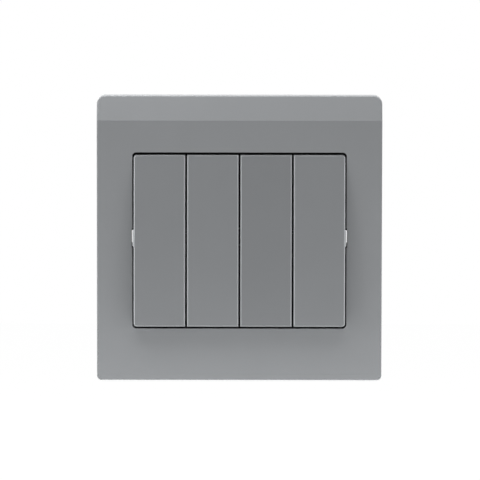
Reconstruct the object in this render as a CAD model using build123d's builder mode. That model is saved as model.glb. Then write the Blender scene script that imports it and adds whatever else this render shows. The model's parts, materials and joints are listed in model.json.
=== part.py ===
from build123d import *
import math
import os

# Four-gang light switch: a clip-on faceplate, four rockers and the switching mechanism behind them.
# Millimetres, +Z up. The wall is the plane Y = 0 and the front faces -Y, so a height is a distance
# in front of the wall. The origin is the middle of the plate, halfway between the two wall screws.

# Faceplate
plate_size = 86.0
plate_wall = 2.0
face_height = 9.0
band_height = 7.35
band_drop = 2.4
top_corner_radius = 2.4
bottom_corner_radius = 1.4
plate_edge_radius = 0.4
window_width = 64.6
window_height = 53.35
window_radius = 1.2
window_drop = 0.6
skirt_wall = 1.2
skirt_height = 4.9
rib_wall = 1.2
rib_height = 5.0
rib_spacing = 36.0
pry_notch_width = 9.0
pry_notch_height = 1.4

# Clips that hold the faceplate on the mounting frame
clip_spacing = 40.0
clip_inset = 6.1
clip_width = 7.0
clip_wall = 1.4
clip_barb = 0.7
clip_end_height = 0.4
clip_ledge_height = 1.3
clip_clearance = 0.3
clip_catch_clearance = 0.1

# Rocker caps
gang_count = 4
rocker_gap = 0.58
rocker_side_gap = 0.45
rocker_end_gap = 0.77
rocker_axis_drop = 0.75
rocker_axis_height = 6.0
rocker_rise = 5.1
rocker_crown = 0.68
rocker_skirt = 0.4
rocker_wall = 1.2
rocker_face_wall = 1.4
rocker_edge_chamfer = 0.35
rocker_corner_radius = 0.9
rocker_tilt = 3.0

# Nibs that centre the outer caps in the window
nib_length = 5.3
nib_slant = 0.4
nib_reach = 0.35
nib_depth = 1.6
nib_sink = 0.05
nib_chamfer = 0.6
nib_notch = 0.2

# Rocker levers
gang_pitch = 12.0
hub_depth = 4.2
hub_clearance = 0.3
collar_wall = 0.8
collar_overlap = 0.9
trunnion_radius = 1.5
trunnion_clearance = 0.06
trunnion_end_gap = 0.15
bearing_wall = 1.6
bearing_depth = 7.2
bearing_lip = 2.2
bearing_mouth = 2.6
bearing_relief = 0.6
bearing_relief_end = 1.4
wing_width = 4.5
wing_reach = 13.0
wing_thickness = 1.6
wing_rise = 1.0
wing_clearance = 0.4
seat_wall = 1.2
seat_spacing = 14.0
snap_width = 3.2
snap_wall = 1.2
snap_barb = 0.6
snap_length = 0.7
snap_clearance = 0.1

# Spring plungers, square in section and guided in the lever's barrel
barrel_width = 6.0
barrel_length = 11.0
barrel_bore = 4.0
barrel_ceiling = 4.0
barrel_clearance = 0.4
plunger_clearance = 0.1
plunger_reach = 15.0
plunger_length = 8.0
plunger_taper = 2.0
plunger_pocket = 2.9
plunger_pocket_depth = 5.0
nose_radius = 1.0
nose_clearance = 0.1
spring_wire = 0.4
spring_turns = 5
spring_sides = 6
spring_clearance = 0.12
spring_end_gap = 0.12

# Contact arms and welded contact tips
arm_swing_ratio = 2.5
arm_thickness = 0.8
arm_width = 5.0
arm_upper_reach = 11.8
arm_lower_reach = 7.5
arm_end_chamfer = 1.2
arm_waist_depth = 0.6
arm_waist_length = 1.5
contact_reach = 9.5
contact_size = 3.2
contact_thickness = 0.8
contact_clearance = 0.1

# Terminal strips and the springs that clamp the wires against them
strip_thickness = 0.8
strip_width = 4.0
strip_end = 2.4
tongue_length = 6.8
tongue_clearance = 0.05
fulcrum_clearance = 0.1
ear_clearance = 0.2
ear_wall = 0.9
ear_height = 1.6
clamp_thickness = 0.4
clamp_width = 4.4
clamp_loop = 2.6
clamp_foot = 1.0
clamp_top_gap = 1.0
clamp_tip = 2.8
clamp_tip_gap = 0.3
clamp_seat_gap = 0.05

# Base housing
base_side_wall = 1.5
base_end_wall = 1.8
base_floor_wall = 1.6
base_corner_radius = 2.0
base_edge_chamfer = 0.8
partition_wall = 1.2
chamber_inner = 16.0
chamber_depth = 7.2
chamber_width = 6.8
chamber_length = 7.75
shelf_wall = 3.0
fulcrum_post_wall = 2.4
wire_hole = 3.8
wire_funnel = 0.5
release_width = 2.6
release_depth = 1.2

# Mounting frame and the screws that hold it to the base
frame_clearance = 1.2
frame_thickness = 2.2
frame_corner_radius = 2.0
frame_edge_chamfer = 0.4
frame_rim_wall = 1.4
frame_rim_height = 4.5
fixing_spacing = 60.3
fixing_slot_length = 7.0
fixing_slot_width = 4.4
screw_row = 20.0
screw_radius = 1.3
screw_length = 10.0
screw_head_radius = 2.2
screw_head_height = 1.8
screw_slot_width = 0.8
screw_slot_depth = 0.8
screw_clearance = 0.2
screw_pilot_clearance = 0.05
screw_pilot_gap = 0.6
screw_post_wall = 1.2

# Sizes that follow from the driving dimensions
plate_half = plate_size / 2
pocket_half = plate_half - plate_wall
ceiling_height = face_height - plate_wall
crest = plate_half - band_height
band_slope = band_drop / band_height
band_angle = math.atan(band_slope)
clip_row = plate_half - clip_inset
frame_size = plate_size - 2 * (plate_wall + frame_clearance)

rocker_width = (window_width - 2 * rocker_side_gap - (gang_count - 1) * rocker_gap) / gang_count
rocker_half = window_height / 2 - rocker_end_gap
hub_half = gang_pitch / 2 - bearing_wall / 2 - hub_clearance
trunnion_half = gang_pitch / 2 - trunnion_end_gap
inner_half = rocker_half - rocker_wall
inner_rise = rocker_rise - rocker_face_wall
nib_top = rocker_rise - nib_sink
wing_top = wing_rise + wing_thickness
snap_inner = wing_reach + snap_clearance
snap_catch = wing_rise - snap_clearance
relief_rise = bearing_lip + bearing_relief
relief_half = bearing_depth / 2 + bearing_relief_end

barrel_swing = rocker_axis_height * math.tan(math.radians(rocker_tilt)) + barrel_clearance
barrel_opening = barrel_width + 2 * barrel_swing
plunger_width = barrel_bore - 2 * plunger_clearance
plunger_back = plunger_reach - plunger_length
pocket_floor = plunger_back + plunger_pocket_depth
spring_radius = plunger_pocket / 2 - spring_clearance - spring_wire / math.sqrt(2)
spring_start = spring_wire / 2 + spring_end_gap - pocket_floor
spring_length = pocket_floor - barrel_ceiling - spring_wire - 2 * spring_end_gap
spring_steps = spring_turns * spring_sides
arm_tilt = rocker_tilt * arm_swing_ratio
arm_swing = math.radians(arm_tilt)
arm_axis_height = rocker_axis_height - plunger_reach - nose_radius - nose_clearance - arm_thickness

closed_reach = contact_reach + contact_size / 2
closed_drop = closed_reach * math.sin(arm_swing) + contact_thickness * math.cos(arm_swing)
contact_height = arm_axis_height - closed_drop - contact_clearance
contact_row = contact_reach * math.cos(arm_swing) - contact_thickness * math.sin(arm_swing)
strip_front = contact_height - contact_thickness
strip_back = strip_front - strip_thickness
ear_half = arm_width / 2 - arm_waist_depth + ear_clearance
ear_top = arm_axis_height + ear_height
blade_height = arm_axis_height - fulcrum_clearance
floor_height = strip_back - chamber_length
base_back = floor_height - base_floor_wall
chamber_outer = chamber_inner + chamber_depth
tongue_row = chamber_inner + tongue_clearance
wire_row = tongue_row + strip_thickness + wire_hole / 2
release_row = chamber_outer - clamp_seat_gap - clamp_thickness - release_depth / 2
base_half_height = chamber_outer + base_end_wall
base_width = gang_count * gang_pitch + 2 * base_side_wall
compartment_width = gang_pitch - partition_wall
screw_post = 2 * (screw_radius + screw_post_wall)

gangs = range(gang_count)
lever_places = [(gang - (gang_count - 1) / 2) * gang_pitch for gang in gangs]
bearing_places = [(edge - gang_count / 2) * gang_pitch for edge in range(gang_count + 1)]
screw_places = [(-gang_pitch, -screw_row), (gang_pitch, screw_row)]


def front_plane(axis_height, angle):
    """Plane through an axis along X, in line with the rocker axis, facing the room and turned by angle."""
    turn = math.radians(angle)
    return Plane(
        origin=(0, -axis_height, -rocker_axis_drop),
        x_dir=(1, 0, 0),
        z_dir=(0, -math.cos(turn), -math.sin(turn)),
    )


def side_plane(front):
    """Plane across a front plane: local x runs up the front plane and local y towards the room."""
    return Plane(origin=front.origin, x_dir=front.y_dir, z_dir=(1, 0, 0))


def save(piece, name):
    piece.part.label = name
    export_step(piece.part, f"parts/{name}.step")


plate_front = Plane.XZ
plate_side = side_plane(plate_front)
insert_front = front_plane(0, 0)
insert_side = side_plane(insert_front)
bearing_side = side_plane(front_plane(rocker_axis_height, 0))
rocker_front = front_plane(rocker_axis_height, -rocker_tilt)
rocker_side = side_plane(rocker_front)
arm_front = front_plane(arm_axis_height, arm_tilt)
rise_axis = Axis(rocker_front.origin, rocker_front.z_dir)
up_axis = Axis(rocker_front.origin, rocker_front.y_dir)

os.makedirs("parts", exist_ok=True)

# Faceplate: a hollow square cover, its front bent back along the top, with a window for the rockers
with BuildPart() as faceplate:
    with BuildSketch(plate_front) as outline:
        Rectangle(plate_size, plate_size)
        fillet(outline.vertices().group_by(Axis.Y)[-1], top_corner_radius)
        fillet(outline.vertices().group_by(Axis.Y)[0], bottom_corner_radius)
    extrude(amount=face_height)

    with BuildSketch(plate_side):
        with BuildLine():
            Polyline(
                (crest, face_height),
                (plate_size, face_height),
                (plate_size, face_height - band_slope * (plate_size - crest)),
                close=True,
            )
        make_face()
    extrude(amount=plate_size, both=True, mode=Mode.SUBTRACT)
    front_edges = faceplate.edges().filter_by(lambda edge: edge.bounding_box().max.Y < -plate_edge_radius)
    crest_edge = front_edges.filter_by(Axis.X).sort_by(Axis.Z)[1:2]
    fillet(front_edges - crest_edge, plate_edge_radius)

    ceiling_crest = crest - plate_wall * math.tan(band_angle / 2)
    with BuildSketch(plate_side):
        with BuildLine():
            Polyline(
                (-pocket_half, 0),
                (-pocket_half, ceiling_height),
                (ceiling_crest, ceiling_height),
                (pocket_half, ceiling_height - band_slope * (pocket_half - ceiling_crest)),
                (pocket_half, 0),
                close=True,
            )
        make_face()
    extrude(amount=pocket_half, both=True, mode=Mode.SUBTRACT)

    with BuildSketch(plate_front.offset(skirt_height)):
        with Locations((0, -window_drop)):
            Rectangle(window_width + 2 * skirt_wall, window_height + 2 * skirt_wall)
    extrude(amount=ceiling_height - skirt_height + plate_wall / 2)

    rib_inner = window_width / 2 + skirt_wall / 2
    rib_outer = pocket_half + plate_wall / 2
    with BuildSketch(plate_front.offset(rib_height)):
        for side in (-1, 1):
            for end in (-1, 1):
                with Locations((side * (rib_inner + rib_outer) / 2, end * rib_spacing / 2)):
                    Rectangle(rib_outer - rib_inner, rib_wall)
    extrude(amount=ceiling_height - rib_height + plate_wall / 2)

    with BuildSketch(plate_front):
        with Locations((0, -window_drop)):
            RectangleRounded(window_width, window_height, window_radius)
        Rectangle(window_width + 2 * nib_notch, nib_length + 2 * nib_slant)
    extrude(amount=face_height, mode=Mode.SUBTRACT)

    # Notch under the lower edge for the blade that lifts the cover off
    with BuildSketch(plate_front):
        with Locations((0, plate_wall / 2 - plate_half)):
            Rectangle(pry_notch_width, plate_wall)
    extrude(amount=pry_notch_height, mode=Mode.SUBTRACT)

    clip_inner = clip_row - clip_wall / 2
    clip_outer = clip_row + clip_wall / 2
    clip_catch = clip_ledge_height - clip_catch_clearance
    for end in (-1, 1):
        for side in (-1, 1):
            with BuildSketch(plate_side.offset(side * clip_spacing / 2 - clip_width / 2)):
                with BuildLine():
                    Polyline(
                        (end * clip_inner, ceiling_height + plate_wall / 4),
                        (end * clip_outer, ceiling_height + plate_wall / 4),
                        (end * clip_outer, clip_catch),
                        (end * (clip_outer + clip_barb), clip_catch),
                        (end * clip_outer, clip_end_height),
                        (end * clip_inner, clip_end_height),
                        close=True,
                    )
                make_face()
            extrude(amount=clip_width)
save(faceplate, "faceplate")

# Mounting frame: the plate that is screwed to the wall box and carries the rocker bearings
with BuildPart() as mounting_frame:
    with BuildSketch(plate_front):
        RectangleRounded(frame_size, frame_size, frame_corner_radius)
    extrude(amount=frame_thickness)
    chamfer(mounting_frame.faces().sort_by(Axis.Y)[-1].edges(), frame_edge_chamfer)
    with BuildSketch(plate_front.offset(frame_thickness)):
        RectangleRounded(frame_size, frame_size, frame_corner_radius)
        Rectangle(frame_size - 2 * frame_rim_wall, frame_size - 2 * frame_rim_wall, mode=Mode.SUBTRACT)
    extrude(amount=frame_rim_height - frame_thickness)

    for place in bearing_places:
        with BuildSketch(bearing_side.offset(place - bearing_wall / 2)):
            with Locations((0, (bearing_lip - rocker_axis_height + frame_thickness) / 2)):
                Rectangle(bearing_depth, bearing_lip + rocker_axis_height - frame_thickness)
            Circle(trunnion_radius + trunnion_clearance, mode=Mode.SUBTRACT)
            with Locations((0, bearing_lip)):
                Rectangle(bearing_mouth, 2 * bearing_lip, mode=Mode.SUBTRACT)
        extrude(amount=bearing_wall)

    with BuildSketch(insert_front):
        for place in lever_places:
            with Locations((place, 0)):
                Rectangle(barrel_width + 2 * barrel_clearance, barrel_opening)
        with Locations(screw_places):
            Circle(screw_radius + screw_clearance)
    extrude(amount=frame_thickness, mode=Mode.SUBTRACT)

    with BuildSketch(plate_front):
        with Locations((-fixing_spacing / 2, 0), (fixing_spacing / 2, 0)):
            SlotOverall(fixing_slot_length, fixing_slot_width)
        for end in (-1, 1):
            for side in (-1, 1):
                with Locations((side * clip_spacing / 2, end * clip_row)):
                    Rectangle(clip_width + 2 * clip_clearance, clip_wall + 2 * clip_clearance)
    extrude(amount=frame_thickness, mode=Mode.SUBTRACT)

    with BuildSketch(plate_front):
        for end in (-1, 1):
            for side in (-1, 1):
                with Locations((side * clip_spacing / 2, end * (clip_row + clip_barb / 2))):
                    Rectangle(clip_width + 2 * clip_clearance, clip_wall + clip_barb + 2 * clip_clearance)
    extrude(amount=clip_ledge_height, mode=Mode.SUBTRACT)
save(mounting_frame, "mounting_frame")

# Base housing: one compartment for each gang, with a wire chamber at each end
with BuildPart() as base_housing:
    with BuildSketch(insert_front):
        RectangleRounded(base_width, 2 * base_half_height, base_corner_radius)
    extrude(amount=base_back)
    chamfer(base_housing.faces().sort_by(Axis.Y)[-1].edges(), base_edge_chamfer)

    with BuildSketch(insert_front):
        for place in lever_places:
            with Locations((place, 0)):
                Rectangle(compartment_width, 2 * chamber_outer)
        with Locations(screw_places):
            Rectangle(screw_post, screw_post, mode=Mode.SUBTRACT)
    extrude(amount=strip_back, mode=Mode.SUBTRACT)

    well_outer = chamber_inner - shelf_wall
    well_inner = fulcrum_post_wall / 2
    with BuildSketch(insert_front.offset(strip_back)):
        for place in lever_places:
            for end in (-1, 1):
                with Locations((place, end * (chamber_inner + chamber_outer) / 2)):
                    Rectangle(chamber_width, chamber_depth)
                with Locations((place, end * (well_inner + well_outer) / 2)):
                    Rectangle(compartment_width, well_outer - well_inner)
    extrude(amount=-chamber_length, mode=Mode.SUBTRACT)

    with BuildSketch(insert_front.offset(floor_height)):
        for place in lever_places:
            for end in (-1, 1):
                with Locations((place, end * wire_row)):
                    Rectangle(wire_hole, wire_hole)
    extrude(amount=-base_floor_wall, mode=Mode.SUBTRACT)
    back_face = base_housing.faces().filter_by(Axis.Y).sort_by(Axis.Y)[-1]
    chamfer(back_face.inner_wires().edges(), wire_funnel)

    with BuildSketch(insert_front.offset(floor_height)):
        for place in lever_places:
            for end in (-1, 1):
                with Locations((place, end * release_row)):
                    Rectangle(release_width, release_depth)
    extrude(amount=-base_floor_wall, mode=Mode.SUBTRACT)

    with BuildSketch(insert_front):
        with Locations(screw_places):
            Circle(screw_radius + screw_pilot_clearance)
    extrude(amount=frame_thickness - screw_length - screw_pilot_gap, mode=Mode.SUBTRACT)
save(base_housing, "base_housing")

# Screws through the mounting frame into the base posts
with BuildPart() as housing_screws:
    with BuildSketch(insert_front.offset(frame_thickness)):
        with Locations(screw_places):
            Circle(screw_radius)
    extrude(amount=-screw_length)
    with BuildSketch(insert_front.offset(frame_thickness)):
        with Locations(screw_places):
            Circle(screw_head_radius)
    extrude(amount=screw_head_height)
    with BuildSketch(insert_front.offset(frame_thickness + screw_head_height)):
        with Locations(screw_places):
            Rectangle(2 * screw_head_radius, screw_slot_width)
    extrude(amount=-screw_slot_depth, mode=Mode.SUBTRACT)
save(housing_screws, "housing_screws")

# Clamp springs: a leaf folded along each chamber's outer wall, its tip against the wire
for end, row_name in ((-1, "common_clamps"), (1, "switched_clamps")):
    seat_row = chamber_outer - clamp_seat_gap
    clamp_top = strip_back - clamp_top_gap
    tip_row = tongue_row + strip_thickness + clamp_tip_gap
    with BuildPart() as clamps:
        for place in lever_places:
            with BuildSketch(insert_side.offset(place - clamp_width / 2)):
                with BuildLine():
                    Polyline(
                        (end * seat_row, floor_height + clamp_foot),
                        (end * seat_row, clamp_top),
                        (end * (seat_row - clamp_loop), clamp_top),
                        (end * tip_row, floor_height + clamp_tip),
                    )
                    offset(
                        amount=clamp_thickness,
                        kind=Kind.INTERSECTION,
                        side=Side.LEFT if end > 0 else Side.RIGHT,
                    )
                make_face()
            extrude(amount=clamp_width)
    save(clamps, row_name)

# Fixed contact tips, welded on the switched terminals
with BuildPart() as fixed_contacts:
    with BuildSketch(insert_front.offset(strip_front)):
        for place in lever_places:
            with Locations((place, contact_row)):
                Rectangle(contact_size, contact_size)
    extrude(amount=contact_thickness)
save(fixed_contacts, "fixed_contacts")

for gang in gangs:
    number = gang + 1
    place = lever_places[gang]
    rocker_left = -window_width / 2 + rocker_side_gap + gang * (rocker_width + rocker_gap)
    rocker_right = rocker_left + rocker_width
    wing_left = max(rocker_left + rocker_wall + wing_clearance, place - hub_half)
    wing_right = min(rocker_right - rocker_wall - wing_clearance, place + hub_half)
    wing_place = (wing_left + wing_right) / 2

    # Rocker cap: a crowned shell that clips over the wings of its lever
    with BuildPart() as rocker:
        with BuildSketch(rocker_side.offset(rocker_left)):
            with BuildLine():
                Polyline(
                    (rocker_half, rocker_rise - rocker_crown),
                    (rocker_half, -rocker_skirt),
                    (-rocker_half, -rocker_skirt),
                    (-rocker_half, rocker_rise - rocker_crown),
                )
                ThreePointArc(
                    (-rocker_half, rocker_rise - rocker_crown),
                    (0, rocker_rise),
                    (rocker_half, rocker_rise - rocker_crown),
                )
            make_face()
        extrude(amount=rocker_width)
        outer_edges = rocker.edges().filter_by(rise_axis).group_by(Axis.X)
        if gang == 0:
            fillet(outer_edges[0], rocker_corner_radius)
        if gang == gang_count - 1:
            fillet(outer_edges[-1], rocker_corner_radius)
        chamfer(rocker.faces().sort_by(rise_axis)[-1].edges(), rocker_edge_chamfer)

        with BuildSketch(rocker_side.offset(rocker_left + rocker_wall)):
            with BuildLine():
                Polyline(
                    (inner_half, inner_rise - rocker_crown),
                    (inner_half, -rocker_skirt),
                    (-inner_half, -rocker_skirt),
                    (-inner_half, inner_rise - rocker_crown),
                )
                ThreePointArc(
                    (-inner_half, inner_rise - rocker_crown),
                    (0, inner_rise),
                    (inner_half, inner_rise - rocker_crown),
                )
            make_face()
        extrude(amount=rocker_width - 2 * rocker_wall, mode=Mode.SUBTRACT)

        # Room in the side walls for the bearings and hubs
        with BuildSketch(rocker_side.offset(rocker_left)):
            with Locations((0, (relief_rise - rocker_skirt) / 2)):
                Rectangle(2 * relief_half, relief_rise + rocker_skirt)
        extrude(amount=rocker_width, mode=Mode.SUBTRACT)

        # Seats and snap hooks for the lever's wings
        with BuildSketch(rocker_front.offset(wing_top)):
            with Locations((wing_place, -seat_spacing / 2), (wing_place, seat_spacing / 2)):
                Rectangle(snap_width, seat_wall)
        extrude(amount=inner_rise - wing_top)
        for end in (-1, 1):
            with BuildSketch(rocker_side.offset(wing_place - snap_width / 2)):
                with BuildLine():
                    Polyline(
                        (end * snap_inner, inner_rise),
                        (end * snap_inner, snap_catch),
                        (end * (snap_inner - snap_barb), snap_catch),
                        (end * snap_inner, snap_catch - snap_length),
                        (end * (snap_inner + snap_wall), snap_catch - snap_length),
                        (end * (snap_inner + snap_wall), inner_rise),
                        close=True,
                    )
                make_face()
            extrude(amount=snap_width)

        # Centring nib on the outer side of the first and last cap, level with the wall screws
        for outer_gang, root, outward in ((0, rocker_left, -1), (gang_count - 1, rocker_right, 1)):
            if gang == outer_gang:
                tip = root + outward * nib_reach
                with BuildSketch(rocker_front.offset(nib_top - nib_depth)):
                    with BuildLine():
                        Polyline(
                            (root - outward * rocker_wall / 2, rocker_axis_drop - nib_length / 2),
                            (root, rocker_axis_drop - nib_length / 2),
                            (tip, rocker_axis_drop - nib_length / 2 + nib_slant),
                            (tip, rocker_axis_drop + nib_length / 2 - nib_slant),
                            (root, rocker_axis_drop + nib_length / 2),
                            (root - outward * rocker_wall / 2, rocker_axis_drop + nib_length / 2),
                            close=True,
                        )
                    make_face()
                extrude(amount=nib_depth)
                tip_edges = rocker.edges().filter_by(up_axis).sort_by(Axis.X, reverse=outward < 0)[-2:]
                chamfer(tip_edges.sort_by(rise_axis)[-1], nib_chamfer)
    save(rocker, f"rocker_{number}")

    # Rocker lever: hub, trunnions and wings, with a barrel for the spring and plunger and a collar
    # that keeps dust out of the barrel's opening in the mounting frame
    with BuildPart() as lever:
        with BuildSketch(rocker_side.offset(place - trunnion_half)):
            Circle(trunnion_radius)
        extrude(amount=2 * trunnion_half)
        with BuildSketch(rocker_side.offset(place - hub_half)):
            Rectangle(hub_depth, hub_depth)
        extrude(amount=2 * hub_half)
        with BuildSketch(rocker_front.offset(-hub_depth / 2)):
            with Locations((place, 0)):
                Rectangle(2 * hub_half, barrel_opening + 2 * collar_overlap)
        extrude(amount=-collar_wall)
        with BuildSketch(rocker_front.offset(wing_rise)):
            with Locations((wing_place, 0)):
                Rectangle(wing_width, 2 * wing_reach)
        extrude(amount=wing_thickness)
        with BuildSketch(rocker_front):
            with Locations((place, 0)):
                Rectangle(barrel_width, barrel_width)
        extrude(amount=-barrel_length)
        with BuildSketch(rocker_front.offset(-barrel_ceiling)):
            with Locations((place, 0)):
                Rectangle(barrel_bore, barrel_bore)
        extrude(amount=barrel_ceiling - barrel_length, mode=Mode.SUBTRACT)
    save(lever, f"rocker_lever_{number}")

    # Plunger: square in section, with a round nose across it and a pocket for the spring
    with BuildPart() as plunger:
        with BuildSketch(rocker_side.offset(place - plunger_width / 2)):
            with BuildLine():
                Polyline(
                    (nose_radius, -plunger_reach),
                    (plunger_width / 2, plunger_taper - plunger_reach),
                    (plunger_width / 2, -plunger_back),
                    (-plunger_width / 2, -plunger_back),
                    (-plunger_width / 2, plunger_taper - plunger_reach),
                    (-nose_radius, -plunger_reach),
                )
                ThreePointArc(
                    (-nose_radius, -plunger_reach),
                    (0, -plunger_reach - nose_radius),
                    (nose_radius, -plunger_reach),
                )
            make_face()
        extrude(amount=plunger_width)
        with BuildSketch(rocker_front.offset(-plunger_back)):
            with Locations((place, 0)):
                Rectangle(plunger_pocket, plunger_pocket)
        extrude(amount=-plunger_pocket_depth, mode=Mode.SUBTRACT)
    save(plunger, f"plunger_{number}")

    # Plunger spring: square wire in flat-sided turns, from the plunger's pocket to the barrel's ceiling
    with BuildPart() as spring:
        with BuildLine() as coil:
            Polyline(
                [
                    rocker_front.from_local_coords(
                        (
                            place + spring_radius * math.cos(math.tau * step / spring_sides),
                            spring_radius * math.sin(math.tau * step / spring_sides),
                            spring_start + spring_length * step / spring_steps,
                        )
                    )
                    for step in range(spring_steps + 1)
                ]
            )
        with BuildSketch(Plane(origin=coil.line @ 0, z_dir=coil.line % 0)):
            Rectangle(spring_wire, spring_wire)
        sweep(transition=Transition.RIGHT)
    save(spring, f"plunger_spring_{number}")

    # Contact arm: a strip that rocks on the fulcrum blade, with a waist between the blade's ears
    with BuildPart() as arm:
        with BuildSketch(arm_front) as arm_outline:
            with Locations((place, (arm_upper_reach - arm_lower_reach) / 2)):
                Rectangle(arm_width, arm_upper_reach + arm_lower_reach)
            chamfer(arm_outline.vertices(), arm_end_chamfer)
            with Locations((place - arm_width / 2, 0), (place + arm_width / 2, 0)):
                Rectangle(2 * arm_waist_depth, arm_waist_length, mode=Mode.SUBTRACT)
        extrude(amount=arm_thickness)
    save(arm, f"contact_arm_{number}")

    # Arm contact: the tip welded on the back of the arm's upper end
    with BuildPart() as arm_contact:
        with BuildSketch(arm_front):
            with Locations((place, contact_reach)):
                Rectangle(contact_size, contact_size)
        extrude(amount=-contact_thickness)
    save(arm_contact, f"arm_contact_{number}")

    # Switched terminal: a strip folded from under the fixed contact into its wire chamber
    with BuildPart() as switched_terminal:
        with BuildSketch(insert_side.offset(place - strip_width / 2)):
            with BuildLine():
                Polyline(
                    (contact_row - strip_end, strip_back),
                    (tongue_row, strip_back),
                    (tongue_row, strip_back - tongue_length),
                )
                offset(amount=strip_thickness, kind=Kind.INTERSECTION, side=Side.LEFT)
            make_face()
        extrude(amount=strip_width)
    save(switched_terminal, f"switched_terminal_{number}")

    # Common terminal: the strip from its wire chamber to the fulcrum blade, with an ear beside each arm edge
    with BuildPart() as common_terminal:
        with BuildSketch(insert_side.offset(place - strip_width / 2)):
            with BuildLine():
                Polyline(
                    (strip_thickness / 2, strip_back),
                    (-tongue_row, strip_back),
                    (-tongue_row, strip_back - tongue_length),
                )
                offset(amount=strip_thickness, kind=Kind.INTERSECTION, side=Side.RIGHT)
            make_face()
        extrude(amount=strip_width)
        with BuildSketch(Plane.XY.offset(-strip_thickness / 2 - rocker_axis_drop)):
            with Locations((place, -(strip_front + ear_top) / 2)):
                Rectangle(2 * (ear_half + ear_wall), ear_top - strip_front)
            with Locations((place, -(blade_height + ear_top) / 2)):
                Rectangle(2 * ear_half, ear_top - blade_height, mode=Mode.SUBTRACT)
        extrude(amount=strip_thickness)
    save(common_terminal, f"common_terminal_{number}")
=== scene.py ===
"""Looks of a four-gang light switch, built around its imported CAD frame."""
import json
import math

import bmesh
import bpy
from mathutils import Matrix, Vector


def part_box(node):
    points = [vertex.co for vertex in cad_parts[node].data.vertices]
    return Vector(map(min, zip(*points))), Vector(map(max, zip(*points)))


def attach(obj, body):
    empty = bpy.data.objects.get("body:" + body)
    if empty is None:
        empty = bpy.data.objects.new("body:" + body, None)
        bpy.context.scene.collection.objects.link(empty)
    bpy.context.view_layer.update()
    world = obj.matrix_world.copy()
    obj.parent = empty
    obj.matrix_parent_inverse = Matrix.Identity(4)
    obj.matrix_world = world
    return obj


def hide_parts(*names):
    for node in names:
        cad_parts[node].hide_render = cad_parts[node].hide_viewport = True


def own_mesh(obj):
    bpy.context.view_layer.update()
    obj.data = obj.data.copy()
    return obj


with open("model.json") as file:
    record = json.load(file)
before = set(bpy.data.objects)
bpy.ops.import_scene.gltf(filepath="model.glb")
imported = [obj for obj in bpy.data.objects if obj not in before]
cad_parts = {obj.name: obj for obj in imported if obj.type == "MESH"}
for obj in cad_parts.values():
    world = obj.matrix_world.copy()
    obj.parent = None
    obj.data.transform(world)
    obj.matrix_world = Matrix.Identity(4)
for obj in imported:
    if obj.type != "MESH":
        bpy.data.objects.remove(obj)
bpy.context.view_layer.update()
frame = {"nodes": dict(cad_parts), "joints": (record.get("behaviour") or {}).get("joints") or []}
joints = {joint["name"]: joint for joint in frame["joints"]}

bl_info = {
    "name": "Four-gang light switch",
    "version": (1, 0, 0),
    "blender": (4, 5, 0),
    "location": "View3D > Sidebar > Light switch",
    "description": "Dresses the packed light switch and sets its studio",
    "category": "Object",
}

GANGS = (1, 2, 3, 4)
# The third cap is painted darker: painted shade standing in for the shade seen on it
SHADED_GANG = 3
MILLIMETRE = 0.001
WHITE = (1, 1, 1, 1)

# Noise: where most of its values lie, and how many finer layers it has
NOISE_MIDDLE = (0.3, 0.7)
GRAIN_DETAIL = 2.0
CLOUD_DETAIL = 3.0
TARNISH_DETAIL = 4.0

# Plastics: how far tone and roughness stray, and how many grains a cloud of tone spans
FINE_MOTTLE = 0.03
ERODED_MOTTLE = 0.06
PLASTIC_UNEVENNESS = 0.05
GRAINS_IN_A_CLOUD = 40

# Long bevels of the caps, where their painted highlight goes: sideways share of their facing,
# from none of the bevel to all of it
BEVEL_NEAR_FACE = (0.35, 0.5)
BEVEL_NEAR_SIDE = (0.97, 0.88)

# Metals: how far tone and roughness stray, and the axis that the noise is drawn out along
TARNISH = 0.12
SILVER_TARNISH = 0.06
METAL_UNEVENNESS = 0.03
NO_LINES = (1, 1, 1)
LINES_ALONG_Y = (1, 0.04, 1)
LINES_ALONG_Z = (1, 1, 0.04)

# Screws: share of the head that the core is sunk into, and the thread's share of its pitch
CORE_SUNK = 0.25
THREAD_SHARE = 0.75
THREAD_SIDES = 3
ROUNDING_STEPS = 4
CHAMFER_STEPS = 1

# Distances in metres at which a cut takes in a point, and at which two places are one
CUT_REACH = 1e-7
SAME_PLACE = 1e-6

# Camera and floor
IMAGE_PIXELS = 480
SENSOR_WIDTH = 36.0
NEAREST_SEEN = 0.01
FLOOR_COLOUR = (0.85, 0.85, 0.85, 1)

# Lamps: name, setting of the power, place and size in metres, and whether gloss mirrors it
LAMP_AIM = (0, -0.005, 0)
LAMPS = (
    ("top_softbox", "top_power", (0, -0.12, 0.6), (0.8, 0.4), True),
    ("crown_light", "crown_power", (-0.16, -0.03, 0.26), (0.1, 0.1), True),
    ("left_softbox", "left_power", (-0.6, -0.18, 0.05), (0.3, 0.3), True),
    ("right_softbox", "right_power", (0.6, -0.18, 0.05), (0.3, 0.3), True),
    ("low_fill", "low_power", (0, -0.06, -0.12), (0.3, 0.05), False),
    ("back_left_softbox", "back_power", (-0.7, 0.8, 0.5), (1.0, 1.0), True),
    ("back_right_softbox", "back_power", (0.7, 0.8, 0.5), (1.0, 1.0), True),
)


# Settings

def colour_setting(name, description, default):
    """A colour that a user may change."""
    return bpy.props.FloatVectorProperty(
        name=name, description=description, subtype="COLOR", default=default, min=0, max=1
    )


def length_setting(name, description, millimetres):
    """A length that a user may change, its default given in millimetres."""
    return bpy.props.FloatProperty(
        name=name, description=description, unit="LENGTH",
        default=millimetres * MILLIMETRE, precision=6,
    )


def share_setting(name, description, default):
    """A share between none and all."""
    return bpy.props.FloatProperty(
        name=name, description=description, subtype="FACTOR", default=default, min=0, max=1
    )


def power_setting(name, description, watts):
    """The power of one lamp."""
    return bpy.props.FloatProperty(
        name=name, description=description, unit="POWER", default=watts, min=0
    )


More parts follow.
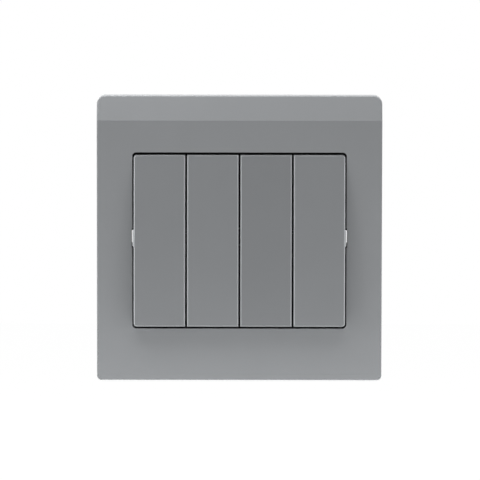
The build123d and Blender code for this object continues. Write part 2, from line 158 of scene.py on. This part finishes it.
class FinishSettings(bpy.types.PropertyGroup):
    """Colours and surface grain of the switch's materials."""

    plate_colour: colour_setting(
        "Plate", "Satin grey of the faceplate", (0.205, 0.212, 0.219)
    )
    rocker_colour: colour_setting(
        "Rockers", "Satin grey of the rocker caps", (0.1735, 0.18, 0.1862)
    )
    frame_colour: colour_setting(
        "Frame", "Graphite of the mounting frame and levers", (0.012, 0.012, 0.013)
    )
    base_colour: colour_setting(
        "Base", "Dark grey of the base housing", (0.055, 0.058, 0.062)
    )
    plunger_colour: colour_setting(
        "Plungers", "Natural acetal of the plungers", (0.78, 0.77, 0.70)
    )
    brass_colour: colour_setting(
        "Brass", "Rolled brass of the arms and terminals", (0.72, 0.47, 0.17)
    )
    silver_colour: colour_setting(
        "Silver", "Silver alloy of the contact tips", (0.83, 0.81, 0.77)
    )
    spring_colour: colour_setting(
        "Springs", "Spring steel of the coils and clamps", (0.55, 0.55, 0.56)
    )
    zinc_colour: colour_setting(
        "Screws", "Zinc plating of the screws", (0.62, 0.63, 0.62)
    )
    # Painted shade: the third cap's colour is scaled by this, a darker copy of the cap colour
    third_rocker_painted_shade: share_setting(
        "Third rocker tone", "Brightness of the third cap beside the others", 0.925
    )
    # Painted highlight: how much lighter the caps' long edge bevels are painted, standing in for
    # light catching them
    edge_painted_highlight: share_setting(
        "Edge polish", "How much lighter the rubbed long edges of the caps are", 0.75
    )
    satin_roughness: share_setting(
        "Satin roughness", "Roughness of the satin grey plastic and the plungers", 0.45
    )
    plastic_gloss: share_setting(
        "Plastic gloss", "Mirror-like share of light from the moulded plastics", 0.3
    )
    plain_roughness: share_setting(
        "Plain roughness", "Roughness of the frame, the base and the levers", 0.5
    )
    metal_roughness: share_setting(
        "Metal roughness", "Roughness of the rolled, drawn and plated metals", 0.32
    )
    grain_size: length_setting(
        "Grain size", "Pitch of the fine moulded grain", 0.35
    )
    grain_depth: length_setting(
        "Grain depth", "Depth of the fine moulded grain", 0.012
    )
    eroded_size: length_setting(
        "Eroded size", "Pitch of the coarse spark-eroded grain on the frame and base", 0.5
    )
    eroded_depth: length_setting(
        "Eroded depth", "Depth of the coarse spark-eroded grain on the frame and base", 0.05
    )
    line_size: length_setting(
        "Line size", "Pitch of the rolling and drawing lines in the metal", 0.15
    )
    line_depth: length_setting(
        "Line depth", "Depth of the rolling and drawing lines in the metal", 0.0003
    )
    tarnish_size: length_setting(
        "Tarnish size", "Size of the patches of tarnish on the metal", 3.0
    )


class CoilSettings(bpy.types.PropertyGroup):
    """Wire and turns of the plunger springs."""

    wire: length_setting("Wire", "Thickness of the spring wire", 0.4)
    closed_turns: bpy.props.FloatProperty(
        name="Closed turns", description="Turns that lie on each other at each end",
        default=0.75, min=0,
    )
    open_turns: bpy.props.FloatProperty(
        name="Open turns", description="Turns that give between the closed ends",
        default=4.0, min=1,
    )
    turn_steps: bpy.props.IntProperty(
        name="Steps in a turn", description="Straight steps that make one turn",
        default=32, min=8,
    )
    wire_sides: bpy.props.IntProperty(
        name="Sides of the wire", description="Flat sides that make the round wire",
        default=12, min=4,
    )


class ScrewSettings(bpy.types.PropertyGroup):
    """Shape of the housing screws."""

    head_diameter: length_setting("Head", "Diameter of the pan head", 4.4)
    head_height: length_setting("Head height", "Height of the pan head", 1.8)
    head_rounding: length_setting("Head rounding", "Rounding of the head's upper edge", 0.6)
    slot_width: length_setting("Slot width", "Width of the slot in the head", 0.8)
    slot_depth: length_setting("Slot depth", "Depth of the slot in the head", 0.8)
    thread_diameter: length_setting("Thread", "Diameter of the screw over its thread", 2.6)
    thread_depth: length_setting("Thread depth", "Height of the thread above its core", 0.3)
    thread_pitch: length_setting("Thread pitch", "Rise of the thread in one turn", 1.0)
    tip_chamfer: length_setting("Tip chamfer", "Chamfer of the screw's tip", 0.5)
    sides: bpy.props.IntProperty(
        name="Sides", description="Flat sides that make the round of the screw",
        default=32, min=8,
    )


class StageSettings(bpy.types.PropertyGroup):
    """Camera, floor and studio lights."""

    camera_elevation: bpy.props.FloatProperty(
        name="Camera elevation", description="How far the camera looks down",
        subtype="ANGLE", default=math.radians(5.2),
    )
    camera_distance: length_setting(
        "Camera distance", "From the middle of the plate's front to the lens", 1288
    )
    camera_roll: bpy.props.FloatProperty(
        name="Camera roll", description="Turn of the camera about its own line of sight",
        subtype="ANGLE", default=math.radians(0.085),
    )
    image_scale: bpy.props.FloatProperty(
        name="Image scale", description="Pixels to a metre in the plane of the plate's front",
        default=3316.0, min=1,
    )
    image_centre: bpy.props.FloatVectorProperty(
        name="Image centre", description="Pixel where the middle of the plate's front lies",
        size=2, default=(239.4, 238.75),
    )
    floor_height: length_setting(
        "Floor height", "Height of the floor under the middle of the plate", -360
    )
    floor_size: length_setting("Floor size", "Length of the floor's sides", 6000)
    floor_glow: share_setting(
        "Floor glow", "White that the floor shows to the eye besides its light", 0.985
    )
    room_light: share_setting("Room light", "Strength of the even light from the room", 0.0)
    top_power: power_setting("Top softbox", "Power of the softbox overhead", 6.48)
    crown_power: power_setting(
        "Crown light", "Power of the small lamp above the plate's upper left", 0.5
    )
    left_power: power_setting(
        "Left softbox", "Power of the softbox beside the plate on the left", 1.85
    )
    right_power: power_setting(
        "Right softbox", "Power of the softbox beside the plate on the right", 1.72
    )
    low_power: power_setting("Low fill", "Power of the fill below, in front", 0.254)
    back_power: power_setting(
        "Back softboxes", "Power of each softbox behind the object", 7.0
    )


def finish_settings():
    """The colours and surface grain in use."""
    return bpy.context.scene.switch_finish


def stage_settings():
    """The camera, floor and lights in use."""
    return bpy.context.scene.switch_stage


# Materials

def empty_tree(owner):
    """The nodes and links of a material or a world, with its first nodes taken out."""
    owner.use_nodes = True
    owner.node_tree.nodes.clear()
    return owner.node_tree.nodes, owner.node_tree.links


def blank_material(name):
    """A new material with a bare Principled shader, as (material, nodes, links, shader)."""
    material = bpy.data.materials.new(name)
    nodes, links = empty_tree(material)
    output = nodes.new("ShaderNodeOutputMaterial")
    shader = nodes.new("ShaderNodeBsdfPrincipled")
    links.new(shader.outputs["BSDF"], output.inputs["Surface"])
    return material, nodes, links, shader


def add_noise(nodes, links, size, detail=GRAIN_DETAIL, stretch=NO_LINES):
    """Noise of one feature size in metres on Object coordinates; returns its value socket."""
    place = nodes.new("ShaderNodeTexCoord")
    spread = nodes.new("ShaderNodeMapping")
    spread.inputs["Scale"].default_value = stretch
    links.new(place.outputs["Object"], spread.inputs["Vector"])
    noise = nodes.new("ShaderNodeTexNoise")
    noise.inputs["Scale"].default_value = 1 / size
    noise.inputs["Detail"].default_value = detail
    links.new(spread.outputs["Vector"], noise.inputs["Vector"])
    return noise.outputs["Fac"]


def add_math(nodes, links, operation, *values):
    """A Math node that takes value sockets; returns its own value socket."""
    node = nodes.new("ShaderNodeMath")
    node.operation = operation
    for number, value in enumerate(values):
        links.new(value, node.inputs[number])
    return node.outputs["Value"]


def add_range(nodes, links, value, taken, given=(0, 1)):
    """Maps a value from the range taken onto the range given; returns the socket."""
    span = nodes.new("ShaderNodeMapRange")
    span.inputs["From Min"].default_value, span.inputs["From Max"].default_value = taken
    span.inputs["To Min"].default_value, span.inputs["To Max"].default_value = given
    links.new(value, span.inputs["Value"])
    return span.outputs["Result"]


def add_tone(nodes, links, value, colour, spread):
    """A colour that noise takes a little darker and lighter; returns the socket."""
    mix = nodes.new("ShaderNodeMix")
    mix.data_type = "RGBA"
    mix.inputs["A"].default_value = (*[part * (1 - spread) for part in colour], 1)
    mix.inputs["B"].default_value = (*[part * (1 + spread) for part in colour], 1)
    links.new(value, mix.inputs["Factor"])
    return mix.outputs["Result"]


def add_roughness(nodes, links, shader, value, middle, spread):
    """Lets noise take the shader's roughness a little up and down."""
    rough = add_range(nodes, links, value, NOISE_MIDDLE, (middle - spread, middle + spread))
    links.new(rough, shader.inputs["Roughness"])


def add_bump(nodes, links, shader, value, depth):
    """Raises the surface by a noise value, depth in metres."""
    bump = nodes.new("ShaderNodeBump")
    bump.inputs["Strength"].default_value = 1.0
    bump.inputs["Distance"].default_value = depth
    links.new(value, bump.inputs["Height"])
    links.new(bump.outputs["Normal"], shader.inputs["Normal"])


def add_painted_highlight_mask(nodes, links):
    """1 on the bevels of a cap's long edges, 0 on its face and sides, by how they face: where
    the painted highlight goes.
    """
    place = nodes.new("ShaderNodeTexCoord")
    split = nodes.new("ShaderNodeSeparateXYZ")
    links.new(place.outputs["Normal"], split.inputs["Vector"])
    sideways = add_math(nodes, links, "ABSOLUTE", split.outputs["X"])
    off_face = add_range(nodes, links, sideways, BEVEL_NEAR_FACE)
    off_side = add_range(nodes, links, sideways, BEVEL_NEAR_SIDE)
    return add_math(nodes, links, "MULTIPLY", off_face, off_side)


def add_painted_highlight(nodes, links, colour, added):
    """A colour with a painted highlight, lighter on the long edge bevels that face sideways;
    returns the socket.
    """
    mix = nodes.new("ShaderNodeMix")
    mix.data_type = "RGBA"
    mix.blend_type = "ADD"
    mix.inputs["B"].default_value = (*added, 1)
    links.new(add_painted_highlight_mask(nodes, links), mix.inputs["Factor"])
    links.new(colour, mix.inputs["A"])
    return mix.outputs["Result"]


def moulded_plastic(name, colour, roughness, painted_highlight=0.0, eroded=False):
    """Moulded plastic: fine or eroded grain, clouds of tone, uneven gloss, and a painted
    highlight on sideways-facing edge bevels.
    """
    look = finish_settings()
    material, nodes, links, shader = blank_material(name)
    grain = add_noise(nodes, links, look.eroded_size if eroded else look.grain_size)
    cloud = add_noise(nodes, links, GRAINS_IN_A_CLOUD * look.grain_size, CLOUD_DETAIL)
    shader.inputs["Specular IOR Level"].default_value = look.plastic_gloss
    tone = add_tone(nodes, links, cloud, colour, ERODED_MOTTLE if eroded else FINE_MOTTLE)
    # Painted highlight: the edge bevels that face sideways are painted lighter
    if painted_highlight:
        tone = add_painted_highlight(nodes, links, tone, [part * painted_highlight for part in colour])
    links.new(tone, shader.inputs["Base Color"])
    add_roughness(nodes, links, shader, grain, roughness, PLASTIC_UNEVENNESS)
    add_bump(nodes, links, shader, grain, look.eroded_depth if eroded else look.grain_depth)
    return material


def worked_metal(name, colour, stretch=NO_LINES, tarnish=TARNISH):
    """Rolled, drawn or plated metal: fine lines along one axis and patches of tarnish."""
    look = finish_settings()
    material, nodes, links, shader = blank_material(name)
    shader.inputs["Metallic"].default_value = 1.0
    lines = add_noise(nodes, links, look.line_size, stretch=stretch)
    patches = add_noise(nodes, links, look.tarnish_size, TARNISH_DETAIL)
    links.new(add_tone(nodes, links, patches, colour, tarnish), shader.inputs["Base Color"])
    add_roughness(nodes, links, shader, lines, look.metal_roughness, METAL_UNEVENNESS)
    add_bump(nodes, links, shader, lines, look.line_depth)
    return material


# Pieces

def dress(material, *names):
    """Gives CAD nodes their material."""
    for name in names:
        for slot in frame["nodes"][name].material_slots:
            slot.material = material


def each_gang(name):
    """The names of a piece that every gang has."""
    return [f"{name}_{gang}" for gang in GANGS]


def make_piece(bm, name, material, smooth=True):
    """Turns a bmesh into an object at the origin with one material."""
    bmesh.ops.recalc_face_normals(bm, faces=bm.faces)
    for face in bm.faces:
        face.smooth = smooth
    mesh = bpy.data.meshes.new(name)
    bm.to_mesh(mesh)
    bm.free()
    mesh.materials.append(material)
    piece = bpy.data.objects.new(name, mesh)
    bpy.context.scene.collection.objects.link(piece)
    return piece


class SWITCH_OT_faceplate(bpy.types.Operator):
    """Dress the clip-on faceplate in satin grey plastic"""

    bl_idname = "switch.faceplate"
    bl_label = "Faceplate"

    def execute(self, context):
        look = finish_settings()
        satin = moulded_plastic("plate_satin_grey", look.plate_colour, look.satin_roughness)
        dress(satin, "faceplate")
        return {"FINISHED"}


class SWITCH_OT_rockers(bpy.types.Operator):
    """Dress the rocker caps in satin grey plastic"""

    bl_idname = "switch.rockers"
    bl_label = "Rockers"

    def execute(self, context):
        look = finish_settings()
        for gang in GANGS:
            # The third cap gets a darker copy of the cap colour as painted shade
            tone = look.third_rocker_painted_shade if gang == SHADED_GANG else 1.0
            colour = [part * tone for part in look.rocker_colour]
            satin = moulded_plastic(
                f"rocker_satin_grey_{gang}", colour, look.satin_roughness,
                # the caps' edge bevels get a painted highlight
                painted_highlight=look.edge_painted_highlight,
            )
            dress(satin, f"rocker_{gang}")
        return {"FINISHED"}


class SWITCH_OT_mounting_frame(bpy.types.Operator):
    """Dress the mounting frame in graphite plastic"""

    bl_idname = "switch.mounting_frame"
    bl_label = "Mounting frame"

    def execute(self, context):
        look = finish_settings()
        graphite = moulded_plastic(
            "frame_graphite", look.frame_colour, look.plain_roughness, eroded=True
        )
        dress(graphite, "mounting_frame")
        return {"FINISHED"}


class SWITCH_OT_base_housing(bpy.types.Operator):
    """Dress the base housing in dark grey plastic"""

    bl_idname = "switch.base_housing"
    bl_label = "Base housing"

    def execute(self, context):
        look = finish_settings()
        grey = moulded_plastic(
            "base_dark_grey", look.base_colour, look.plain_roughness, eroded=True
        )
        dress(grey, "base_housing")
        return {"FINISHED"}


class SWITCH_OT_rocker_levers(bpy.types.Operator):
    """Dress the levers that the rocker caps clip onto"""

    bl_idname = "switch.rocker_levers"
    bl_label = "Rocker levers"

    def execute(self, context):
        look = finish_settings()
        graphite = moulded_plastic("lever_graphite", look.frame_colour, look.plain_roughness)
        dress(graphite, *each_gang("rocker_lever"))
        return {"FINISHED"}


class SWITCH_OT_plungers(bpy.types.Operator):
    """Dress the plungers in natural acetal"""

    bl_idname = "switch.plungers"
    bl_label = "Plungers"

    def execute(self, context):
        look = finish_settings()
        acetal = moulded_plastic("plunger_acetal", look.plunger_colour, look.satin_roughness)
        dress(acetal, *each_gang("plunger"))
        return {"FINISHED"}


def once_each(parts):
    """Parts of a mesh without repeats, in the order they came."""
    return list(dict.fromkeys(parts))


def wind_wire(bm, ring, turns, rise, steps):
    """Winds a ring of edges round the Z axis while it rises; returns the ring at the end."""
    count = round(turns * steps)
    made = bmesh.ops.spin(
        bm, geom=ring, cent=(0, 0, 0), axis=(0, 0, 1), dvec=(0, 0, rise / count),
        angle=math.tau * turns, steps=count, use_merge=False, use_duplicate=False,
    )
    return [part for part in made["geom_last"] if isinstance(part, bmesh.types.BMEdge)]


def ring_section(bm, sides, radius, across):
    """A ring of edges in the XZ plane, a corner outwards, at radius from Z; returns them."""
    stand = Matrix.Rotation(math.pi / 2, 4, "X") @ Matrix.Rotation(-math.pi / 2, 4, "Z")
    stand = Matrix.Translation((radius, 0, 0)) @ stand
    made = bmesh.ops.create_circle(bm, segments=sides, radius=across / 2, matrix=stand)
    return once_each(edge for vert in made["verts"] for edge in vert.link_edges)


def close_ends(bm):
    """Fills the open ends of a wound wire."""
    bmesh.ops.holes_fill(bm, edges=[edge for edge in bm.edges if edge.is_boundary])


def wound_spring(coil, length, across):
    """A spring with closed ends, its first turn about the origin, along Z, as a bmesh."""
    closed_rise = coil.closed_turns * coil.wire
    open_rise = length - coil.wire - 2 * closed_rise
    bm = bmesh.new()
    ring = ring_section(bm, coil.wire_sides, (across - coil.wire) / 2, coil.wire)
    for turns, rise in (
        (coil.closed_turns, closed_rise),
        (coil.open_turns, open_rise),
        (coil.closed_turns, closed_rise),
    ):
        ring = wind_wire(bm, ring, turns, rise, coil.turn_steps)
    close_ends(bm)
    return bm


def leaning_length(size, axis):
    """Length of a round bar that leans in the YZ plane, from the size of its box.

    Along Y the box is length * |axis.y| + width * |axis.z|, along Z the other way about,
    so the width drops out of the difference below.
    """
    difference = size.y * abs(axis.y) - size.z * abs(axis.z)
    return difference / (axis.y**2 - axis.z**2)


class SWITCH_OT_plunger_springs(bpy.types.Operator):
    """Wind the plunger springs from round wire, with closed ends"""

    bl_idname = "switch.plunger_springs"
    bl_label = "Plunger springs"

    def execute(self, context):
        coil = context.scene.switch_coil
        steel = worked_metal("spring_steel_wire", finish_settings().spring_colour)
        for gang in GANGS:
            slide = joints[f"plunger_slide_{gang}"]
            inward = Vector(slide["axis"]).normalized()
            low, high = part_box(f"plunger_spring_{gang}")
            middle, size = (low + high) / 2, high - low
            length = leaning_length(size, inward)

            bm = wound_spring(coil, length, size.x)
            back_end = middle + inward * (length - coil.wire) / 2
            turned = Vector((0, 0, 1)).rotation_difference(-inward).to_matrix().to_4x4()
            stand = Matrix.Translation(back_end) @ turned
            bmesh.ops.transform(bm, matrix=stand, verts=bm.verts)

            spring = make_piece(bm, f"coil_spring_{gang}", steel)
            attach(spring, f"rocker_body_{gang}")
            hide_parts(f"plunger_spring_{gang}")
            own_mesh(spring)
        return {"FINISHED"}


class SWITCH_OT_contact_arms(bpy.types.Operator):
    """Dress the rocking contact arms in rolled brass"""

    bl_idname = "switch.contact_arms"
    bl_label = "Contact arms"

    def execute(self, context):
        brass = worked_metal("arm_brass", finish_settings().brass_colour, LINES_ALONG_Z)
        dress(brass, *each_gang("contact_arm"))
        return {"FINISHED"}


class SWITCH_OT_contact_tips(bpy.types.Operator):
    """Dress the moving and fixed contact tips in silver alloy"""

    bl_idname = "switch.contact_tips"
    bl_label = "Contact tips"

    def execute(self, context):
        colour = finish_settings().silver_colour
        silver = worked_metal("contact_silver_alloy", colour, tarnish=SILVER_TARNISH)
        dress(silver, "fixed_contacts", *each_gang("arm_contact"))
        return {"FINISHED"}


class SWITCH_OT_terminals(bpy.types.Operator):
    """Dress the terminal strips in rolled brass"""

    bl_idname = "switch.terminals"
    bl_label = "Terminals"

    def execute(self, context):
        brass = worked_metal("terminal_brass", finish_settings().brass_colour, LINES_ALONG_Z)
        dress(brass, *each_gang("common_terminal"), *each_gang("switched_terminal"))
        return {"FINISHED"}


class SWITCH_OT_wire_clamps(bpy.types.Operator):
    """Dress the wire clamps in spring steel"""

    bl_idname = "switch.wire_clamps"
    bl_label = "Wire clamps"

    def execute(self, context):
        colour = finish_settings().spring_colour
        steel = worked_metal("clamp_spring_steel", colour, LINES_ALONG_Y)
        dress(steel, "common_clamps", "switched_clamps")
        return {"FINISHED"}


def raise_disc(bm, sides, radius, bottom, height):
    """A round bar on the Z axis; returns the edges of its far end."""
    level = Matrix.Translation((0, 0, bottom))
    disc = bmesh.ops.create_circle(
        bm, cap_ends=True, segments=sides, radius=radius, matrix=level
    )
    made = bmesh.ops.extrude_face_region(bm, geom=list(disc["verts"][0].link_faces))
    verts = [part for part in made["geom"] if isinstance(part, bmesh.types.BMVert)]
    bmesh.ops.translate(bm, vec=(0, 0, height), verts=verts)
    return [part for part in made["geom"] if isinstance(part, bmesh.types.BMEdge)]


def round_over(bm, edges, size, segments):
    """Rounds edges over, or chamfers them with one segment."""
    bmesh.ops.bevel(
        bm, geom=edges, offset=size, offset_type="OFFSET", affect="EDGES",
        segments=segments, profile=0.5, material=-1,
    )


def cut_slot(bm, width, floor):
    """Cuts a slot along Y into the top of a round head, down to a floor height."""
    half = width / 2
    across_x, across_z = (1, 0, 0), (0, 0, 1)
    for normal, place in (
        (across_x, (half, 0, 0)),
        (across_x, (-half, 0, 0)),
        (across_z, (0, 0, floor)),
    ):
        whole = [*bm.verts, *bm.edges, *bm.faces]
        bmesh.ops.bisect_plane(bm, geom=whole, dist=CUT_REACH, plane_co=place, plane_no=normal)
    middles = {face: face.calc_center_median() for face in bm.faces}
    lost = [
        face for face, middle in middles.items()
        if abs(middle.x) < half and middle.z > floor + SAME_PLACE
    ]
    bmesh.ops.delete(bm, geom=lost, context="FACES")

    # The walls get an edge along the slot's floor, and then the floor closes what is left
    rim = [edge for edge in bm.edges if edge.is_boundary]
    along = []
    for side in (-half, half):
        wall = [
            edge for edge in rim
            if all(abs(vert.co.x - side) < SAME_PLACE for vert in edge.verts)
        ]
        corners = once_each(vert for edge in wall for vert in edge.verts)
        lowest = sorted(corners, key=lambda vert: vert.co.z)[:2]
        along.append(bm.edges.new(lowest))
        bmesh.ops.edgeloop_fill(bm, edges=[*wall, along[-1]])
    ends = [edge for edge in rim if edge.is_valid and edge.is_boundary]
    bmesh.ops.edgeloop_fill(bm, edges=[*ends, *along])


def housing_screw(shape, length):
    """A slotted pan head screw along Z, its head's underside at the origin, as a bmesh."""
    bm = bmesh.new()
    top = raise_disc(bm, shape.sides, shape.head_diameter / 2, 0, shape.head_height)
    round_over(bm, top, shape.head_rounding, ROUNDING_STEPS)
    cut_slot(bm, shape.slot_width, shape.head_height - shape.slot_depth)

    core = shape.thread_diameter / 2 - shape.thread_depth
    sunk = CORE_SUNK * shape.head_height
    tip = raise_disc(bm, shape.sides, core, sunk, -length - sunk)
    round_over(bm, tip, shape.tip_chamfer, CHAMFER_STEPS)

    # The thread leaves one pitch bare under the head and at the tip
    across = THREAD_SHARE * shape.thread_pitch
    thread_length = length - 2 * shape.thread_pitch
    ring = ring_section(bm, THREAD_SIDES, (shape.thread_diameter - across) / 2, across)
    ring_verts = once_each(vert for edge in ring for vert in edge.verts)
    lower = Matrix.Translation((0, 0, -length + shape.thread_pitch))
    bmesh.ops.transform(bm, matrix=lower, verts=ring_verts)
    wind_wire(bm, ring, thread_length / shape.thread_pitch, thread_length, shape.sides)
    close_ends(bm)
    return bm


class SWITCH_OT_housing_screws(bpy.types.Operator):
    """Make the housing screws with a slotted pan head and a thread"""

    bl_idname = "switch.housing_screws"
    bl_label = "Housing screws"

    def execute(self, context):
        shape = context.scene.switch_screw
        low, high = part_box("housing_screws")
        rim = shape.head_diameter / 2
        under_head = low.y + shape.head_height
        both = bmesh.new()
        for x, z in ((low.x + rim, low.z + rim), (high.x - rim, high.z - rim)):
            bm = housing_screw(shape, high.y - under_head)
            turned = Matrix.Rotation(math.pi / 2, 4, "X")
            stand = Matrix.Translation((x, under_head, z)) @ turned
            bmesh.ops.transform(bm, matrix=stand, verts=bm.verts)
            mesh = bpy.data.meshes.new("one_screw")
            bm.to_mesh(mesh)
            bm.free()
            both.from_mesh(mesh)
            bpy.data.meshes.remove(mesh)
        zinc = worked_metal("screw_zinc", finish_settings().zinc_colour)
        screws = make_piece(both, "threaded_screws", zinc, smooth=False)
        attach(screws, "base")
        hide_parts("housing_screws")
        return {"FINISHED"}


# Stage

def add_camera():
    """Camera at the photograph's angle, for a square image."""
    shot = stage_settings()
    data = bpy.data.cameras.new("photo_camera")
    camera = bpy.data.objects.new("photo_camera", data)
    bpy.context.scene.collection.objects.link(camera)
    tilt = shot.camera_elevation
    front = Vector((0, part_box("faceplate")[0].y, 0))
    outwards = Vector((0, -math.cos(tilt), math.sin(tilt)))
    camera.location = front + shot.camera_distance * outwards
    level = Matrix.Rotation(math.pi / 2 - tilt, 3, "X")
    camera.rotation_euler = (level @ Matrix.Rotation(shot.camera_roll, 3, "Z")).to_euler()
    data.sensor_width = SENSOR_WIDTH
    data.lens = shot.image_scale * shot.camera_distance * SENSOR_WIDTH / IMAGE_PIXELS
    data.shift_x = (IMAGE_PIXELS / 2 - shot.image_centre[0]) / IMAGE_PIXELS
    data.shift_y = (shot.image_centre[1] - IMAGE_PIXELS / 2) / IMAGE_PIXELS
    data.clip_start = NEAREST_SEEN
    bpy.context.scene.camera = camera


def add_softbox(name, place, size, power, mirrored):
    """A rectangular area lamp that faces the plate, seen or not in what is glossy."""
    data = bpy.data.lights.new(name, "AREA")
    data.shape = "RECTANGLE"
    data.size, data.size_y = size
    data.energy = power
    lamp = bpy.data.objects.new(name, data)
    lamp.location = place
    towards = Vector(LAMP_AIM) - Vector(place)
    lamp.rotation_euler = towards.to_track_quat("-Z", "Y").to_euler()
    lamp.visible_camera = False
    lamp.visible_glossy = mirrored
    bpy.context.scene.collection.objects.link(lamp)


def white_to_the_eye(nodes, links):
    """1 for camera, glossy and transmission rays and 0 for the rest; returns the socket."""
    ray = nodes.new("ShaderNodeLightPath").outputs
    seen = add_math(nodes, links, "MAXIMUM", ray["Is Camera Ray"], ray["Is Glossy Ray"])
    return add_math(nodes, links, "MAXIMUM", seen, ray["Is Transmission Ray"])


def add_room():
    """World: white behind the object, and the room's even light on it."""
    world = bpy.data.worlds.new("studio_room")
    bpy.context.scene.world = world
    nodes, links = empty_tree(world)
    output = nodes.new("ShaderNodeOutputWorld")
    even = nodes.new("ShaderNodeBackground")
    even.inputs["Strength"].default_value = stage_settings().room_light
    even.inputs["Color"].default_value = WHITE
    white = nodes.new("ShaderNodeBackground")
    white.inputs["Color"].default_value = WHITE
    mix = nodes.new("ShaderNodeMixShader")
    links.new(white_to_the_eye(nodes, links), mix.inputs["Fac"])
    links.new(even.outputs["Background"], mix.inputs[1])
    links.new(white.outputs["Background"], mix.inputs[2])
    links.new(mix.outputs["Shader"], output.inputs["Surface"])


def floor_material():
    """Pale matt floor that reads white and keeps the object's shadow."""
    material = bpy.data.materials.new("studio_floor")
    nodes, links = empty_tree(material)
    output = nodes.new("ShaderNodeOutputMaterial")
    matt = nodes.new("ShaderNodeBsdfDiffuse")
    matt.inputs["Color"].default_value = FLOOR_COLOUR
    glow = nodes.new("ShaderNodeEmission")
    glow.inputs["Color"].default_value = WHITE
    share = nodes.new("ShaderNodeMath")
    share.operation = "MULTIPLY"
    share.inputs[1].default_value = stage_settings().floor_glow
    links.new(white_to_the_eye(nodes, links), share.inputs[0])
    links.new(share.outputs["Value"], glow.inputs["Strength"])
    both = nodes.new("ShaderNodeAddShader")
    links.new(matt.outputs["BSDF"], both.inputs[0])
    links.new(glow.outputs["Emission"], both.inputs[1])
    links.new(both.outputs["Shader"], output.inputs["Surface"])
    return material


class SWITCH_OT_stage(bpy.types.Operator):
    """Set the floor, the softboxes and the camera"""

    bl_idname = "switch.stage"
    bl_label = "Stage"

    def execute(self, context):
        shot = stage_settings()
        bm = bmesh.new()
        level = Matrix.Translation((0, 0, shot.floor_height))
        bmesh.ops.create_grid(
            bm, x_segments=1, y_segments=1, size=shot.floor_size / 2, matrix=level
        )
        make_piece(bm, "studio_floor", floor_material(), smooth=False)
        add_room()
        for name, power, place, size, mirrored in LAMPS:
            add_softbox(name, place, size, getattr(shot, power), mirrored)
        add_camera()
        context.scene.view_settings.view_transform = "Standard"
        return {"FINISHED"}


# Add-on

class SWITCH_PT_panel(bpy.types.Panel):
    """Lists the switch's pieces in the sidebar"""

    bl_idname = "SWITCH_PT_panel"
    bl_label = "Light switch"
    bl_space_type = "VIEW_3D"
    bl_region_type = "UI"
    bl_category = "Light switch"

    def draw(self, context):
        layout = self.layout
        for operator in OPERATORS:
            layout.operator(operator.bl_idname)
        for setting in SETTINGS:
            group = getattr(context.scene, setting)
            for name in group.__annotations__:
                layout.prop(group, name)


OPERATORS = (
    SWITCH_OT_faceplate,
    SWITCH_OT_rockers,
    SWITCH_OT_mounting_frame,
    SWITCH_OT_base_housing,
    SWITCH_OT_rocker_levers,
    SWITCH_OT_plungers,
    SWITCH_OT_plunger_springs,
    SWITCH_OT_contact_arms,
    SWITCH_OT_contact_tips,
    SWITCH_OT_terminals,
    SWITCH_OT_wire_clamps,
    SWITCH_OT_housing_screws,
    SWITCH_OT_stage,
)
SETTINGS = {
    "switch_finish": FinishSettings,
    "switch_coil": CoilSettings,
    "switch_screw": ScrewSettings,
    "switch_stage": StageSettings,
}
CLASSES = (*SETTINGS.values(), *OPERATORS, SWITCH_PT_panel)


def register():
    """Adds the settings, operators and panel to Blender."""
    for cls in CLASSES:
        bpy.utils.register_class(cls)
    for name, group in SETTINGS.items():
        setattr(bpy.types.Scene, name, bpy.props.PointerProperty(type=group))


def unregister():
    """Takes the settings, operators and panel out again."""
    for name in SETTINGS:
        delattr(bpy.types.Scene, name)
    for cls in reversed(CLASSES):
        bpy.utils.unregister_class(cls)


def main():
    register()
    bpy.ops.switch.faceplate()
    bpy.ops.switch.rockers()
    bpy.ops.switch.mounting_frame()
    bpy.ops.switch.base_housing()
    bpy.ops.switch.rocker_levers()
    bpy.ops.switch.plungers()
    bpy.ops.switch.plunger_springs()
    bpy.ops.switch.contact_arms()
    bpy.ops.switch.contact_tips()
    bpy.ops.switch.terminals()
    bpy.ops.switch.wire_clamps()
    bpy.ops.switch.housing_screws()
    bpy.ops.switch.stage()


if __name__ == "__main__":
    main()
